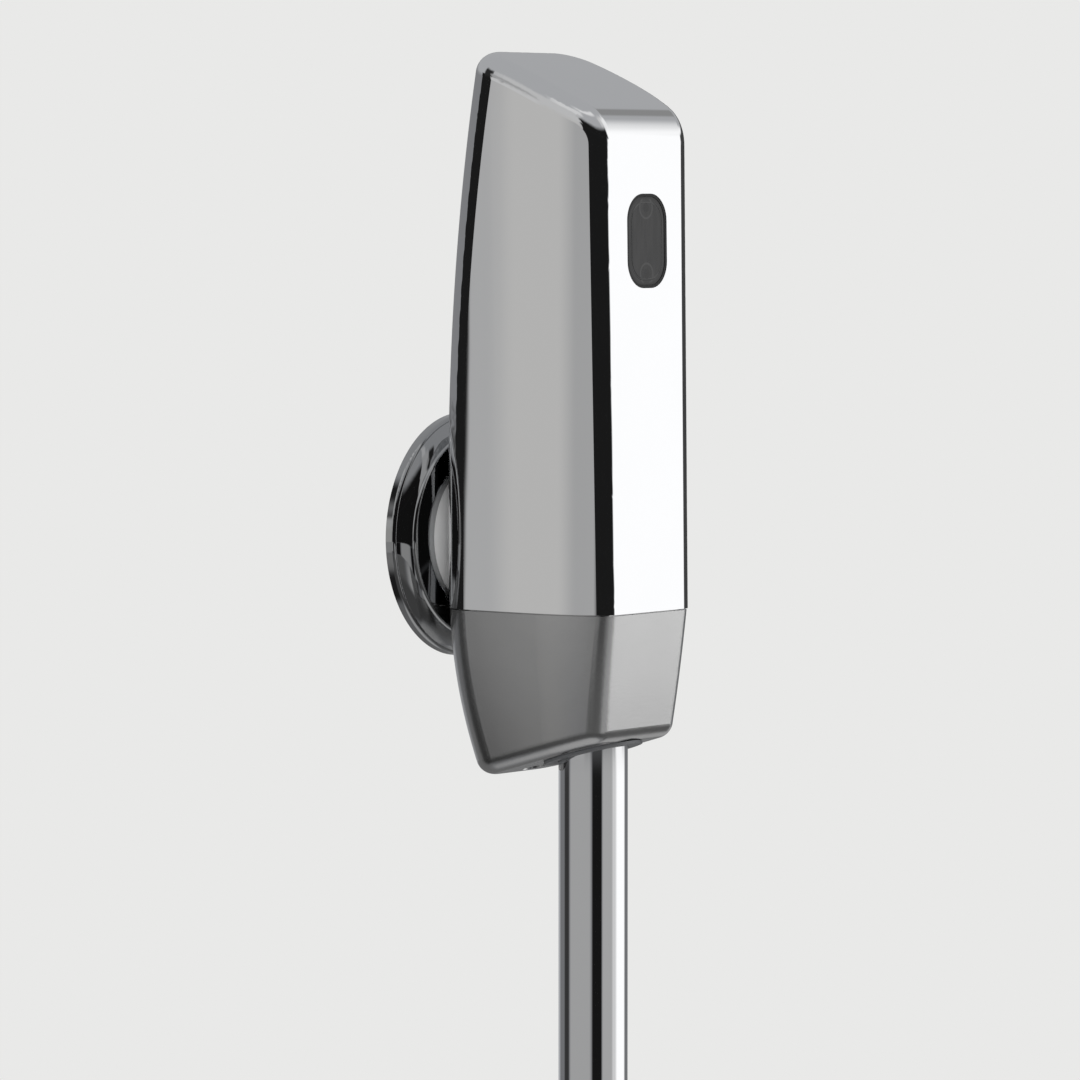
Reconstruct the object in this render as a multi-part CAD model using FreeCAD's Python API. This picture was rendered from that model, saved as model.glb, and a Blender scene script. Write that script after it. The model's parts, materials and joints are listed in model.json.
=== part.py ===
import FreeCAD, Part
import math
import os

from FreeCAD import Vector

# Sensor urinal flush valve for an exposed wall inlet, in millimetres.
# The origin is the centre of the inlet on the wall: +Y goes into the wall,
# -Y towards the user, +Z up, and +X to the right of someone who faces it.
# Water comes in at the back, passes a ball stop valve and a piston valve
# with a solenoid pilot, and leaves downwards through a vacuum breaker.

# Casing
valve_y = -43.2            # axis of the valve, the outlet and the flush pipe
seam_z = -18.0             # where the hood meets the lower cap
casing_wall = 2.0
half_width = 22.8          # widest half width, seen from above
widest_y = -41.5
side_front_radius = 43.5   # bow of each side in front of the widest line
side_back_radius = 350.0   # bow of each side behind it
front_y = -61.75           # front face at the seam
front_lean = 0.85          # degrees that the front leans back
back_y = -7.0              # back face at the seam
back_corner_radius = 11.5  # the two upright corners at the back
back_bow_z = 15.0          # height where the back starts to bow forwards
back_bow_radius = 600.0
crown_z = 136.6            # height where the roof arc would be level
crown_y = 41.8             # and how far back that is, behind the wall's face
roof_radius = 200.0
roof_front_radius = 12.0   # profile, where the roof turns into the front
edge_radius = 5.3          # the front's upright corners and all round the roof

# Lower cap
cap_gap = 0.35             # shadow gap between the hood and the cap
slot_gap = 0.35            # round the inlet neck, in the hood's slot
cap_step = 0.25            # the cap is this much smaller than the hood
cap_wall = 2.2
cap_levels = (17.0, 52.0)  # depths at which the taper below is given
cap_front_in = (2.0, 6.6)
cap_back_in = (1.2, 10.8)
cap_side_in = (1.2, 5.5)
cap_edge_radius = 4.6
underside_z = -55.0        # underside of the cap on the pipe's axis
underside_slope = 15.5     # degrees that the underside rises to the front
lip_height = 3.0
lip_wall = 1.3
lip_ledge = 0.3            # step inside, under the lip
lip_clearance = 0.15

# Window
window_z = 77.3
window_width = 17.2
window_height = 24.2
window_corner = 6.9
window_rim = 0.8
window_recess = 0.25
lens_thickness = 2.2

# Rosette
rosette_radius = 32.0
rosette_rim = 2.7
rosette_ridge_radius = 27.0
rosette_height = 5.8
rosette_dish_radius = 19.0
rosette_dish_depth = 0.4
rosette_wall = 1.2
ring_wire = 2.0

# Inlet
thread_radius = 10.4775    # G 1/2 male thread
thread_start_y = -0.7
thread_end_y = 15.0
nipple_radius = 9.5
nipple_bore = 7.0
nipple_end_y = -14.5
neck_radius = 12.2
neck_start_y = -1.8
slide_clearance = 0.06

# Ball stop valve
ball_y = -22.8
ball_radius = 6.5
ball_bore = 4.0
ball_chamber = 6.9
stem_radius = 2.5
stem_top_z = 20.0
stem_boss_radius = 6.0
stem_boss_z = 15.0
gland_radius = 4.2

# Piston valve
body_radius = 14.2
body_bottom_z = -14.0
flange_z = 14.0
flange_half_x = 15.6
flange_half_y = 12.2
flange_corner = 3.4
bolt_x = 12.5
bolt_y = 9.1
bolt_radius = 1.5
chamber_radius = 10.8
chamber_bottom_z = -5.0
seat_radius = 6.8
outlet_bore = 5.4
seat_z = 6.2
piston_travel = 4.0
piston_top_z = 15.0
cover_plate = 3.0
cover_dome_radius = 12.4
cover_top_z = 24.5
bolt_head_radius = 2.7
bolt_head = 2.4

# Solenoid
tube_radius = 5.0
tube_bore = 4.05
armature_clearance = 0.06
armature_travel = 1.0
armature_length = 16.0
coil_radius = 10.0
coil_height = 20.0
yoke_sheet = 1.6
yoke_width = 15.0

# Outlet
spigot_radius = 10.4
spigot_bottom_z = -24.0
breaker_radius = 12.2
breaker_bottom_z = -43.0
breaker_travel = 2.5
pipe_radius = 9.0
pipe_wall = 1.0
pipe_length = 200.0
pipe_top_z = -38.5
plug_end_radius = 8.8       # the pipe's lower end, turned down to enter the urinal
plug_end_length = 25.0
nut_flats = 24.0
nut_top_z = -36.5
nut_bottom_z = -48.6
collar_radius = 11.6
collar_clearance = 0.15

# Electronics
deck_z = 54.0
deck_sheet = 2.0
leg_sheet = 1.5
battery_width = 35.0
battery_depth = 19.5
battery_height = 36.0
battery_back_y = -22.4
holder_wall = 0.8
board_height = 38.0
board_width = 23.0
board_sheet = 1.6
housing_wall = 1.2
led_radius = 2.5
led_spacing = 17.0
plug_height = 4.0           # the coil lead's plug, under the receiver
seat_gap = 0.05            # between pieces that rest on each other

led_heights = (window_z + led_spacing / 2, window_z - led_spacing / 2)
plug_z = led_heights[1] - led_radius - 0.6 - plug_height
board_z = plug_z - 1.2

X, Y, Z = Vector(1, 0, 0), Vector(0, 1, 0), Vector(0, 0, 1)
roof_room = 40.0           # how far construction solids run past the casing
upright_length = 12.0      # a casing form's longer edges are its upright ones
os.makedirs("parts", exist_ok=True)


def save(name, shape):
    """Write one sub-part under its own name."""
    shape.exportStep("parts/%s.step" % name)


def rod(radius, start, end, axis=Z, x=0.0, y=0.0, z=0.0):
    """A cylinder along an axis from start to end, centred on the other two values."""
    base = Vector(x, y, z) - axis * Vector(x, y, z).dot(axis) + axis * start
    return Part.makeCylinder(radius, end - start, base, axis)


def tube(radius, bore, start, end, axis=Z, x=0.0, y=0.0, z=0.0):
    """A cylinder with a bore."""
    inner = rod(bore, start - 1, end + 1, axis, x, y, z)
    return rod(radius, start, end, axis, x, y, z).cut(inner)


def block(x0, x1, y0, y1, z0, z1):
    """A box between six planes."""
    return Part.makeBox(x1 - x0, y1 - y0, z1 - z0, Vector(x0, y0, z0))


def spun(points, centre, axis):
    """A profile of (radius, height) points turned once about an axis."""
    side = X if abs(axis.dot(X)) < 0.5 else Z
    corners = [centre + side * r + axis * h for r, h in points]
    face = Part.Face(Part.makePolygon(corners + corners[:1]))
    return face.revolve(centre, axis, 360)


def ring(centre, axis, radius, wire):
    """A sealing ring with an eight-sided section, given by its middle and its wire radius."""
    corner = wire / math.cos(math.pi / 8)
    turns = [math.pi / 8 * (2 * k + 1) for k in range(8)]
    points = [(radius + corner * math.cos(t), corner * math.sin(t)) for t in turns]
    return spun(points, centre, axis)


def rounded_plate(half_x, half_z, corner, y0, y1, z):
    """A plate across Y with four rounded corners, centred on X = 0 and a height."""
    plate = block(-half_x, half_x, y0, y1, z - half_z, z + half_z)
    edges = [e for e in plate.Edges if abs(e.tangentAt(e.FirstParameter).dot(Y)) > 0.99]
    return plate.makeFillet(corner, edges)


def flange_plate(z0, z1):
    """The rounded rectangle that the body, the cover and the chassis share."""
    plate = block(-flange_half_x, flange_half_x, valve_y - flange_half_y,
                  valve_y + flange_half_y, z0, z1)
    edges = [e for e in plate.Edges if abs(e.tangentAt(e.FirstParameter).dot(Z)) > 0.99]
    return plate.makeFillet(flange_corner, edges)


def at_bolts(make):
    """One copy of a solid at each of the four flange screws."""
    places = [(sx * bolt_x, valve_y + sy * bolt_y) for sx in (-1, 1) for sy in (-1, 1)]
    return Part.makeCompound([make(x, y) for x, y in places])


def width_at(y, inset):
    """Half width of the bowed side at a depth, the wall's inset taken off."""
    radius = side_front_radius if y < widest_y else side_back_radius
    centre = half_width - radius
    return centre + math.sqrt((radius - inset) ** 2 - (y - widest_y) ** 2)


def plan(front, back, inset, narrow, z):
    """The casing's outline with sharp corners: two straight faces, two bowed sides."""
    def side(sign):
        def at(y):
            return Vector(sign * (width_at(y, inset) - narrow), y, z)
        fore = Part.Arc(at(front), at((front + widest_y) / 2), at(widest_y)).toShape()
        aft = Part.Arc(at(widest_y), at((back + widest_y) / 2), at(back)).toShape()
        return fore, aft, at(front), at(back)

    right_fore, right_aft, right_front, right_back = side(1)
    left_fore, left_aft, left_front, left_back = side(-1)
    edges = [Part.makeLine(left_front, right_front), right_fore, right_aft,
             Part.makeLine(right_back, left_back), left_aft, left_fore]
    return Part.Wire(Part.__sortEdges__(edges))


def hood_form(inset):
    """The hood's outer form, or its inside when a wall's thickness is given."""
    top = crown_z + roof_room
    outline = plan(front_y - 2, back_y + 2, inset, 0, seam_z)
    form = Part.Face(outline).extrude(Z * (top - seam_z))
    back = Part.makeCylinder(back_bow_radius - inset, 4 * roof_room,
                             Vector(-2 * roof_room, back_y - back_bow_radius, back_bow_z), X)
    low = block(-roof_room, roof_room, front_y - roof_room, back_y - inset, seam_z - 1, back_bow_z)
    form = form.common(back.fuse(low).removeSplitter())
    roof = Part.makeCylinder(roof_radius - inset, 4 * roof_room,
                             Vector(-2 * roof_room, crown_y, crown_z - roof_radius), X)
    below = block(-roof_room, roof_room, front_y - roof_room, back_y + 1, seam_z - 1, 40)
    form = form.common(roof.fuse(below).removeSplitter())
    front = block(-roof_room, roof_room, front_y - roof_room, front_y + inset,
                  seam_z - roof_room, top + roof_room)
    front.rotate(Vector(0, front_y + inset, seam_z), X, -front_lean)
    return form.cut(front)


def upright_corners(form, behind):
    """The form's upright edges behind the widest line, or those in front of it."""
    corners = []
    for edge in form.Edges:
        offset = edge.CenterOfMass.y - widest_y
        if edge.BoundBox.ZLength > upright_length and (offset > 8 if behind else offset < -8):
            corners.append(edge)
    return corners


def rounded(form, inset):
    """Round a casing form: the back's corners, the roof's front, then all the other edges.

    The last radius runs up both front corners and all round the roof by itself,
    since those edges meet without a corner once the first two are there.
    """
    form = form.makeFillet(back_corner_radius - inset, upright_corners(form, True))
    across = [e for e in form.Edges if e.BoundBox.ZMin > window_z and e.BoundBox.XLength > half_width
              and e.BoundBox.ZLength < 1]
    if across:
        edge = min(across, key=lambda e: e.CenterOfMass.y)
        form = form.makeFillet(roof_front_radius - inset, [edge])
    return form.makeFillet(edge_radius - inset, upright_corners(form, False))


def cap_form(inset):
    """The lower cap's form, tapered on all sides, with its corner edges rounded."""
    start = seam_z - cap_gap
    skin = inset + cap_step
    sections = [plan(front_y + skin, back_y - skin, skin, 0, start)]
    for depth, front_in, back_in, side_in in zip(cap_levels, cap_front_in, cap_back_in, cap_side_in):
        sections.append(plan(front_y + skin + front_in, back_y - skin - back_in, skin, side_in,
                             start - depth))
    return rounded(Part.makeLoft(sections, True, False), inset)


def under(offset, depth=roof_room):
    """Everything below the slanted underside, moved down by an offset."""
    solid = block(-roof_room, roof_room, -2 * roof_room, 2 * roof_room, -depth, 0)
    solid.rotate(Vector(0, 0, 0), X, -underside_slope)
    return solid.translated(Vector(0, valve_y, underside_z - offset))


def leaned(shape):
    """A shape made for an upright front face, tilted with the hood's front."""
    shape.rotate(Vector(0, front_y, seam_z), X, -front_lean)
    return shape


def hexagon(flats, start, end, axis=Z, x=0.0, y=0.0, turn=0.0, z=0.0):
    """A hexagonal prism along an axis, given across its flats."""
    reach = flats / math.sqrt(3)
    centre = Vector(x, y, z) - axis * Vector(x, y, z).dot(axis) + axis * start
    side = X if abs(axis.dot(X)) < 0.5 else Y
    other = axis.cross(side)
    corners = []
    for k in range(7):
        angle = math.radians(60 * k + turn)
        corners.append(centre + side * (reach * math.cos(angle)) + other * (reach * math.sin(angle)))
    return Part.Face(Part.makePolygon(corners)).extrude(axis * (end - start))


def coil_spring(radius, wire, bottom, top, turns):
    """A compression spring on the valve's axis between two seats, of square wire."""
    rise = top - bottom - 2 * wire
    path = Part.makeHelix(rise / turns, rise, radius)
    path.translate(Vector(0, valve_y, bottom + wire))
    centre = Vector(radius, valve_y, bottom + wire)
    corners = [centre + X * (sx * wire) + Z * (sz * wire)
               for sx, sz in ((-1, -1), (1, -1), (1, 1), (-1, 1), (-1, -1))]
    return Part.Wire(path.Edges).makePipeShell([Part.makePolygon(corners)], True, True)


# The hood: one casting, open below, with a slot for the inlet neck, the
# window's hole and two grooves for the noses of the deck inside
slot_half = neck_radius + slot_gap
deck_inset = casing_wall + 0.6
nose_radius = 1.2
nose_half_length = 5.0
nose_z = deck_z + deck_sheet / 2
nose_x = half_width - casing_wall - nose_radius + 0.4


def deck_noses(extra):
    """The two snap noses on the deck, or their grooves when made larger."""
    ends = (widest_y - nose_half_length - extra, widest_y + nose_half_length + extra)
    noses = [rod(nose_radius + extra, ends[0], ends[1], Y, x=sign * nose_x, z=nose_z)
             for sign in (-1, 1)]
    return Part.makeCompound(noses)


def make_hood():
    hood = rounded(hood_form(0), 0).cut(rounded(hood_form(casing_wall), casing_wall))
    slot = block(-slot_half, slot_half, back_y - 2 * casing_wall, back_y + 1, seam_z - 1, 0)
    hood = hood.cut(slot.fuse(rod(slot_half, back_y - 2 * casing_wall, back_y + 1, Y)))
    window = rounded_plate(window_width / 2, window_height / 2, window_corner,
                           front_y - 1, front_y + 2 * casing_wall, window_z)
    return hood.cut(leaned(window)).cut(deck_noses(seat_gap))


save("casing_hood", make_hood())


# The window: a dark lens in a thin rim that fills the hole in the hood
def pill(margin, y0, y1):
    corner = window_corner - margin
    return leaned(rounded_plate(window_width / 2 - margin, window_height / 2 - margin, corner,
                                front_y + y0, front_y + y1, window_z))


rim_margin = window_rim + seat_gap
lens_back = window_recess + lens_thickness
save("sensor_window", pill(rim_margin, window_recess, lens_back))
gasket = pill(seat_gap, window_recess / 2, lens_back).cut(pill(window_rim, -1, lens_back + 1))
save("window_gasket", gasket)


# The lower cap: a tapered casting with a lip that stands in the hood, a
# tongue that closes the hood's slot under the neck, and a screw pillar
pillar_y = -24.5
pillar_radius = 4.8
pillar_bore = 3.7
pillar_web = 5.0
pillar_top_z = -17.0
screw_hole = 2.1
tongue_top_z = -7.0
bore_reach = 12.0          # how far a cutter runs past the slanted underside


def make_cap():
    start = seam_z - cap_gap
    lip_outer = casing_wall + lip_clearance
    lip_inner = lip_outer + lip_wall
    cap = cap_form(0).cut(under(0))
    edge = [e for e in cap.Edges if e.BoundBox.ZMax < underside_z + bore_reach + 2]
    cap = cap.makeFillet(cap_edge_radius, edge)
    hollow = cap_form(cap_wall).cut(under(-cap_wall))
    throat = rounded(hood_form(lip_inner), lip_inner)
    throat = throat.common(block(-roof_room, roof_room, -2 * roof_room, 0, seam_z, seam_z + 9))
    roomy = block(-roof_room, roof_room, -2 * roof_room, 0, -2 * roof_room, start - cap_wall)
    rim = lip_inner + lip_ledge
    mouth = plan(front_y + rim, back_y - rim, rim, 0, start - roof_room)
    mouth = rounded(Part.Face(mouth).extrude(Z * roof_room), rim)
    mouth = mouth.common(block(-roof_room, roof_room, -2 * roof_room, 0, start - cap_wall - 1, start))
    cap = cap.cut(hollow.common(roomy)).cut(mouth)
    slab = block(-roof_room, roof_room, -2 * roof_room, 0, seam_z, seam_z + lip_height + cap_gap)
    lip = rounded(hood_form(lip_outer), lip_outer).common(slab).cut(throat)
    tongue = block(-slot_half + slot_gap, slot_half - slot_gap, back_y - casing_wall - lip_wall,
                   back_y - 2 * cap_step, start - 0.5, tongue_top_z)
    tongue = tongue.cut(rod(slot_half, -roof_room, 0, Y))
    pillar = rod(pillar_radius, underside_z - 9, pillar_top_z - seat_gap, y=pillar_y)
    pillar = pillar.cut(under(-0.5 * cap_wall))
    cap = cap.fuse([lip.translated(Vector(0, 0, -cap_gap)), tongue, pillar])
    cap = cap.cut(rod(pillar_bore, underside_z - bore_reach, pillar_top_z - pillar_web, y=pillar_y))
    cap = cap.cut(rod(screw_hole, underside_z, 0, y=pillar_y))
    return cap.cut(rod(collar_radius + seat_gap, underside_z - bore_reach,
                       underside_z + bore_reach, y=valve_y))


save("lower_cap", make_cap())

screw_core = 1.6
head_radius = 3.4
head_height = 2.4
head_top_z = pillar_top_z - pillar_web - seat_gap
screw_end_z = -10.6
cap_screw = rod(head_radius, head_top_z - head_height, head_top_z, y=pillar_y)
cap_screw = cap_screw.fuse(rod(screw_core, head_top_z - 1, screw_end_z, y=pillar_y))
cap_screw = cap_screw.cut(hexagon(2.5, head_top_z - head_height - 1, head_top_z - 1, y=pillar_y))
save("cap_screw", cap_screw)

# The collar that lines the pipe's hole in the cap, with a thin flange outside
collar_flange = 0.8
collar_flange_radius = collar_radius + 1.2
bush = tube(collar_radius, pipe_radius + collar_clearance, underside_z - bore_reach,
            underside_z + bore_reach, y=valve_y)
bush = bush.cut(under(collar_flange)).common(under(-cap_wall - 0.3))
flange = tube(collar_flange_radius, pipe_radius + collar_clearance, underside_z - bore_reach,
              underside_z + bore_reach, y=valve_y)
flange = flange.cut(under(collar_flange)).common(under(seat_gap))
save("pipe_collar", bush.fuse(flange))


# The rosette: a pressed disc with a rim, a raised bead and a sunk middle,
# and a sleeve behind that keeps a rubber ring on the neck
def make_rosette():
    def at(r, h):
        return Vector(r, -h, 0)

    rim, bead, high = rosette_radius, rosette_ridge_radius, rosette_height
    corner = rosette_rim
    middle = high - rosette_dish_depth
    floor = middle - rosette_wall
    half_way = corner + 0.68 * (high - 0.9 - corner)
    face = [Part.Arc(at(rim, corner - 0.9), at(rim - 0.3, corner - 0.25), at(rim - 1, corner)),
            Part.Arc(at(rim - 1, corner), at(bead + 2, half_way), at(bead, high - 0.9)),
            Part.Arc(at(bead, high - 0.9), at(bead - 0.3, high - 0.3), at(bead - 1, high - 0.2))]
    groove = rosette_bore + ring_wire
    sleeve = groove + rosette_wall
    points = [at(bead - 1, high - 0.2), at(rosette_dish_radius, high),
              at(rosette_dish_radius - 0.5, middle), at(rosette_bore, middle),
              at(rosette_bore, floor), at(groove, floor), at(groove, sleeve_end),
              at(sleeve, sleeve_end), at(sleeve, floor), at(rosette_dish_radius - 1, floor),
              at(rosette_dish_radius, high - rosette_wall), at(bead - 1.6, high - 0.3 - rosette_wall),
              at(bead - 0.6, high - 1.1 - rosette_wall), at(rim - 1.9, corner - rosette_wall),
              at(rim - rosette_wall, corner - 0.7 - rosette_wall), at(rim - rosette_wall, 0),
              at(rim, 0), at(rim, corner - 0.9)]
    edges = [arc.toShape() for arc in face]
    edges += [Part.makeLine(a, b) for a, b in zip(points, points[1:])]
    outline = Part.Wire(Part.__sortEdges__(edges))
    return Part.Face(outline).revolve(Vector(0, 0, 0), Y, 360)


ring_clearance = 0.03
rosette_bore = neck_radius + 0.1
sleeve_end = 1.9
save("wall_rosette", make_rosette())
ring_y = rosette_dish_depth + rosette_wall - rosette_height + ring_wire / 2 + ring_clearance
ring_middle = neck_radius + ring_clearance + ring_wire / 2
save("rosette_ring", ring(Vector(0, ring_y, 0), Y, ring_middle, ring_wire / 2))


# The inlet nipple: a G 1/2 thread in the wall, then a turned tube that the
# valve slides onto over two rubber rings, held by a set screw
groove_width = 2.3
groove_places = (-6.3, -10.6)
o_ring_wire = 0.8
o_ring_middle = nipple_radius + slide_clearance / 2 - o_ring_wire
groove_floor = o_ring_middle - o_ring_wire - 0.02
nipple = rod(thread_radius, thread_start_y, thread_end_y, Y)
nipple = nipple.fuse(rod(nipple_radius, nipple_end_y, thread_start_y, Y))
nipple = nipple.cut(rod(nipple_bore, nipple_end_y - 1, thread_end_y + 1, Y))
for place in groove_places:
    nipple = nipple.cut(tube(thread_radius, groove_floor, place - groove_width / 2,
                             place + groove_width / 2, Y))
save("inlet_nipple", nipple)
o_rings = [ring(Vector(0, place, 0), Y, o_ring_middle, o_ring_wire) for place in groove_places]
save("nipple_o_rings", Part.makeCompound(o_rings))

# The strainer: a slotted basket in the nipple, its flange against the body
flange_sheet = 0.9
basket_radius = 6.1
basket_wall = 0.5
basket_end_y = 0.5
slots = 8
slot_width = 1.2
strainer_y = nipple_end_y - seat_gap
strainer = tube(nipple_radius - 0.3, basket_radius - basket_wall, strainer_y - flange_sheet,
                strainer_y, Y)
strainer = strainer.fuse(rod(basket_radius, strainer_y - 0.2, basket_end_y, Y).cut(
    rod(basket_radius - basket_wall, strainer_y - 2, basket_end_y - basket_wall, Y)))
for k in range(slots // 2):
    cutter = block(-nipple_radius, nipple_radius, strainer_y + 3, basket_end_y - 2.5,
                   -slot_width / 2, slot_width / 2)
    cutter.rotate(Vector(0, 0, 0), Y, 360 * k / slots)
    strainer = strainer.cut(cutter)
save("strainer_basket", strainer)

# The valve body: a brass casting with the inlet neck along Y, the valve
# chamber upright on the pipe's axis, the stop valve's boss, the spigot
# below, and the boss for the cap's screw
neck_bore = nipple_radius + slide_clearance
ball_chamber_start = strainer_y - flange_sheet - seat_gap
ball_chamber_end = 2 * ball_y - ball_chamber_start
passage_radius = 4.0
stem_clearance = 0.05
gland_shoulder_z = 9.0
ring_seat_radius = 3.8
ring_seat_top_z = 12.3
set_screw_y = -13.0
set_screw_radius = 2.0
cap_boss_radius = 4.3
bolt_end_z = 6.0


def make_body():
    body = rod(body_radius, body_bottom_z, flange_z, y=valve_y).fuse([
        flange_plate(flange_z - cover_plate, flange_z),
        rod(neck_radius, valve_y, neck_start_y, Y),
        rod(spigot_radius, spigot_bottom_z, 0, y=valve_y),
        rod(stem_boss_radius, 0, stem_boss_z, y=ball_y),
        rod(cap_boss_radius, pillar_top_z, -neck_radius / 2, y=pillar_y)]).removeSplitter()
    bolt_hole = bolt_radius + seat_gap
    cuts = [rod(neck_bore, ball_chamber_start, neck_start_y + 1, Y),
            rod(ball_chamber, ball_chamber_end, ball_chamber_start + 1, Y),
            rod(passage_radius, valve_y + seat_radius + 1, ball_chamber_end + 1, Y),
            tube(chamber_radius, seat_radius, chamber_bottom_z, seat_z + 1, y=valve_y),
            rod(chamber_radius, seat_z, flange_z + 1, y=valve_y),
            rod(outlet_bore, spigot_bottom_z - 1, seat_z + 1, y=valve_y),
            rod(stem_radius + stem_clearance, 0, stem_boss_z, y=ball_y),
            rod(ring_seat_radius, gland_shoulder_z, stem_boss_z, y=ball_y),
            rod(gland_radius, ring_seat_top_z, stem_boss_z + 1, y=ball_y),
            rod(screw_core + seat_gap, pillar_top_z - 1, screw_end_z + 0.6, y=pillar_y),
            rod(set_screw_radius + seat_gap, -neck_radius - 1, -neck_bore + 1, y=set_screw_y),
            at_bolts(lambda x, y: rod(bolt_hole, bolt_end_z - 1, flange_z + 1, x=x, y=y))]
    for cut in cuts:
        body = body.cut(cut)
    return body


save("valve_body", make_body())

set_screw = rod(set_screw_radius, -neck_radius + 0.2, -nipple_radius - seat_gap, y=set_screw_y)
socket = hexagon(2.0, -neck_radius - 1, -neck_radius + 1.3, y=set_screw_y)
save("nipple_set_screw", set_screw.cut(socket))

# The stop valve: a bored ball between two seats, turned a quarter turn by a
# stem that is sealed by a ring and a gland nut
seat_ring_bore = 4.3
tongue_half = 1.3
collar_height = 1.1
stem_collar_radius = 3.6
stem_ring_wire = 0.6
gland_flats = 10.0
gland_head = 3.0
driver_slot = 1.0
ball = Part.makeSphere(ball_radius, Vector(0, ball_y, 0)).cut(
    rod(ball_bore, ball_y - ball_radius, ball_y + ball_radius, Y))
ball_slot = block(-ball_radius, ball_radius, ball_y - tongue_half - seat_gap,
                  ball_y + tongue_half + seat_gap, ball_radius - 1.7, ball_radius + 1)
save("shutoff_ball", ball.cut(ball_slot))

cup = Part.makeSphere(ball_radius + seat_gap, Vector(0, ball_y, 0))
seat_length = 3.2
seats = [tube(ball_chamber - seat_gap, seat_ring_bore, ball_chamber_start - seat_length,
              ball_chamber_start, Y).cut(cup),
         tube(ball_chamber - seat_gap, seat_ring_bore, ball_chamber_end,
              ball_chamber_end + seat_length, Y).cut(cup)]
save("ball_seats", Part.makeCompound(seats))

stem = rod(stem_radius, ball_radius + seat_gap, stem_top_z, y=ball_y)
stem = stem.fuse(rod(stem_collar_radius, gland_shoulder_z + seat_gap,
                     gland_shoulder_z + collar_height, y=ball_y))
stem = stem.fuse(block(-stem_radius + 0.3, stem_radius - 0.3, ball_y - tongue_half,
                       ball_y + tongue_half, ball_radius - 1.6, ball_radius + 0.5))
stem = stem.cut(block(-stem_radius, stem_radius, ball_y - driver_slot / 2,
                      ball_y + driver_slot / 2, stem_top_z - 1.6, stem_top_z + 1))
save("shutoff_stem", stem)
stem_ring_z = gland_shoulder_z + collar_height + seat_gap + stem_ring_wire
save("stem_ring", ring(Vector(0, ball_y, stem_ring_z), Z, stem_radius + seat_gap + stem_ring_wire,
                       stem_ring_wire))
gland = rod(gland_radius - seat_gap, ring_seat_top_z + seat_gap, stem_boss_z + 1, y=ball_y)
gland = gland.fuse(hexagon(gland_flats, stem_boss_z + seat_gap, stem_boss_z + gland_head, y=ball_y))
save("gland_nut", gland.cut(rod(stem_radius + stem_clearance, 0, stem_top_z, y=ball_y)))

# The main valve: a piston with a lip seal and a seat washer, pushed down by
# a spring, in a bore that the body and the cover share
piston_radius = chamber_radius - slide_clearance
seal_wire = 0.9
seal_z = 10.6
washer_radius = 8.6
washer_bore = 3.2
washer_height = 2.0
piston_hub_z = 4.6
recess_radius = 8.4
recess_floor_z = 12.6
pilot_bleed = 0.5
seal_middle = chamber_radius - 0.03 - seal_wire
piston_bottom_z = seat_z + seat_gap
piston = rod(piston_radius, piston_bottom_z, piston_top_z, y=valve_y)
piston = piston.cut(tube(washer_radius + seat_gap, washer_bore, piston_bottom_z - 1,
                         piston_bottom_z + washer_height + seat_gap, y=valve_y))
piston = piston.fuse(rod(washer_bore - seat_gap, piston_hub_z, piston_bottom_z + 1, y=valve_y))
piston = piston.cut(tube(chamber_radius, seal_middle - seal_wire - 0.02, seal_z - seal_wire - 0.1,
                         seal_z + seal_wire + 0.1, y=valve_y))
piston = piston.cut(rod(recess_radius, recess_floor_z, piston_top_z + 1, y=valve_y))
piston = piston.cut(rod(pilot_bleed, piston_hub_z - 1, piston_top_z, y=valve_y))
save("piston", piston)
save("piston_seal", ring(Vector(0, valve_y, seal_z), Z, seal_middle, seal_wire))
save("seat_washer", tube(washer_radius, washer_bore, piston_bottom_z,
                         piston_bottom_z + washer_height, y=valve_y))

cover_ceiling_z = piston_top_z + piston_travel + 0.6
tube_seat_z = 21.2
nozzle_radius = 1.3
nozzle_top_z = 21.9
cover = flange_plate(flange_z + seat_gap, flange_z + cover_plate)
cover = cover.fuse(rod(cover_dome_radius, flange_z + seat_gap, cover_top_z, y=valve_y))
cover = cover.cut(rod(chamber_radius, flange_z - 1, cover_ceiling_z, y=valve_y))
cover = cover.cut(tube(tube_radius + seat_gap, nozzle_radius, tube_seat_z, cover_top_z + 1,
                       y=valve_y))
cover = cover.cut(rod(nozzle_radius + 1, nozzle_top_z, cover_top_z + 1, y=valve_y))
cover = cover.cut(rod(pilot_bleed, cover_ceiling_z - 1, nozzle_top_z + 1, y=valve_y))
cover = cover.cut(at_bolts(lambda x, y: rod(bolt_radius + seat_gap, flange_z - 1,
                                            flange_z + cover_plate + 1, x=x, y=y)))
save("valve_cover", cover)
spring_gap = 0.15
save("piston_spring", coil_spring(7.4, 0.45, recess_floor_z + spring_gap,
                                  cover_ceiling_z - spring_gap, 3))

# The chassis: a moulded frame clamped under the cover's screws, whose deck
# steadies the hood and carries the battery and the sensor
chassis_z = flange_z + cover_plate + seat_gap
leg_half = bolt_y - bolt_head_radius - 0.3
lead_radius = 0.9
lead_hole = lead_radius + 0.6
lead_y = valve_y - yoke_width / 2 - lead_radius - 0.3
coil_nut_room = 5.6


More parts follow.
